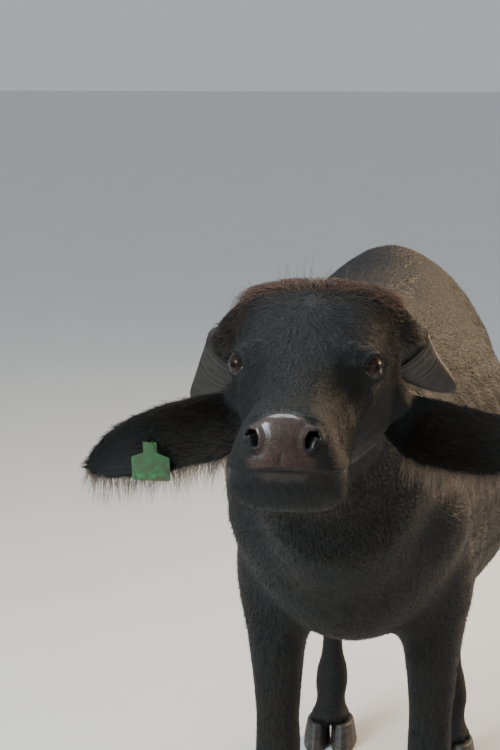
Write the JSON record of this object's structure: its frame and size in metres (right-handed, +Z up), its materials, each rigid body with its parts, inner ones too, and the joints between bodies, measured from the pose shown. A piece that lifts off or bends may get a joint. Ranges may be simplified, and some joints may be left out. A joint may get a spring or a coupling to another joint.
{
  "type": "water buffalo",
  "caption": "Life-size still model of a young river buffalo cow, standing with her head stretched forward, curved-back horns, drooping ears and a plain ear tag.",
  "frame": {"origin": "on the floor, under the middle of the whole animal's bounding box", "axes": "+Z up, the animal faces -Y, +X is her left side"},
  "size_m": [0.7498, 2.2048, 1.4411],
  "materials": {
    "hide": "dark slate skin under short sparse hair",
    "hair": "red-brown coarse hair",
    "horn": "dark ribbed horn",
    "hoof": "dark worn horn of the claws",
    "eye": "wet dark brown eye",
    "tag": "worn green tag, bare of print"
  },
  "bodies": {
    "root": {"torso": "hide", "neck": "hide", "head": "hide", "tail": "hide", "tail_switch": "hair", "horn_left": "horn", "horn_right": "horn", "ear_left": "hide", "ear_right": "hide", "leg_front_left": "hide", "leg_front_right": "hide", "leg_hind_left": "hide", "leg_hind_right": "hide", "hoof_front_left_outer": "hoof", "hoof_front_left_inner": "hoof", "hoof_front_right_outer": "hoof", "hoof_front_right_inner": "hoof", "hoof_hind_left_outer": "hoof", "hoof_hind_left_inner": "hoof", "hoof_hind_right_outer": "hoof", "hoof_hind_right_inner": "hoof", "eye_left": "eye", "eye_right": "eye", "ear_tag_plate": "tag", "ear_tag_button": "tag"}
  },
  "joints": []
}
